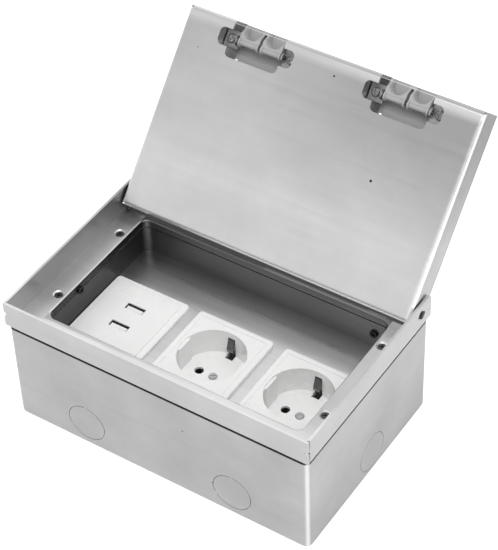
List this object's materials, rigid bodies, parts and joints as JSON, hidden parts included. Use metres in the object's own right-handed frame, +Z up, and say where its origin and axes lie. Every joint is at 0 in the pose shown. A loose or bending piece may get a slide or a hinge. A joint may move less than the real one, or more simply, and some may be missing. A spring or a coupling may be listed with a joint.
{
  "type": "floor socket box",
  "caption": "Folded steel floor box with a hinged tray lid that has rocking cable flaps, and an inner tray with round sockets and a charging module.",
  "frame": {"origin": "centre of the underside of the lower casing", "axes": "+Z up; +X along the long side to the right as seen from the side the lid opens away from; -Y is that side, and the hinge is at +Y"},
  "size_m": [0.2, 0.2033, 0.1721],
  "materials": {
    "stainless_box": "satin, fine brush marks along the length",
    "stainless_frame": "satin, fine brush marks along the length",
    "stainless_tray": "satin, fine brush marks along the length",
    "stainless_lid": "satin, fine brush marks along the length",
    "zinc": "bright zinc plate",
    "white_plastic": "smooth, half gloss",
    "white_tongue": "smooth",
    "grey_plastic": "fine matt texture",
    "base_plastic": "matt",
    "housing_plastic": "matt",
    "brass": "plain",
    "steel_clip": "bright spring steel",
    "board": "solder mask"
  },
  "bodies": {
    "box": {"base_box": "stainless_box", "frame_lugs": "stainless_box", "top_frame": "stainless_frame", "frame_screws": "zinc", "socket_tray": "stainless_tray", "tray_clamp_plates": "zinc", "tray_clamp_screws": "zinc", "socket_1_cover": "white_plastic", "socket_1_support_plate": "zinc", "socket_1_base": "base_plastic", "socket_1_contacts": "brass", "socket_1_earth_strap": "steel_clip", "socket_1_centre_screw": "zinc", "socket_1_terminals": "brass", "socket_2_cover": "white_plastic", "socket_2_support_plate": "zinc", "socket_2_base": "base_plastic", "socket_2_contacts": "brass", "socket_2_earth_strap": "steel_clip", "socket_2_centre_screw": "zinc", "socket_2_terminals": "brass", "support_screws": "zinc", "usb_cover": "white_plastic", "usb_port_shells": "steel_clip", "usb_port_tongues": "white_tongue", "usb_board": "board", "usb_housing": "housing_plastic", "usb_support_plate": "zinc", "earth_stud": "brass", "earth_nuts": "brass", "lid_pivots": "zinc", "pivot_clips": "steel_clip"},
    "lid": {"lid_tray": "stainless_lid", "outlet_housing_left": "stainless_lid", "outlet_housing_right": "stainless_lid", "flap_pin_left": "steel_clip", "flap_pin_right": "steel_clip", "bearing_brackets": "zinc", "outlet_screws": "zinc"},
    "flap_left": {"flap_left": "grey_plastic"},
    "flap_right": {"flap_right": "grey_plastic"}
  },
  "joints": [
    {"name": "lid_hinge", "type": "hinge", "parent": "box", "child": "lid", "pos_m": [0, 0.0545, 0.0802], "axis": [1, 0, 0], "range_deg": [0, 131.7]},
    {"name": "flap_left_hinge", "type": "hinge", "parent": "lid", "child": "flap_left", "pos_m": [-0.0485, 0.12442, 0.16048], "axis": [-1, 0, 0], "range_deg": [0, 40]},
    {"name": "flap_right_hinge", "type": "hinge", "parent": "lid", "child": "flap_right", "pos_m": [0.0485, 0.12442, 0.16048], "axis": [-1, 0, 0], "range_deg": [0, 40]}
  ]
}
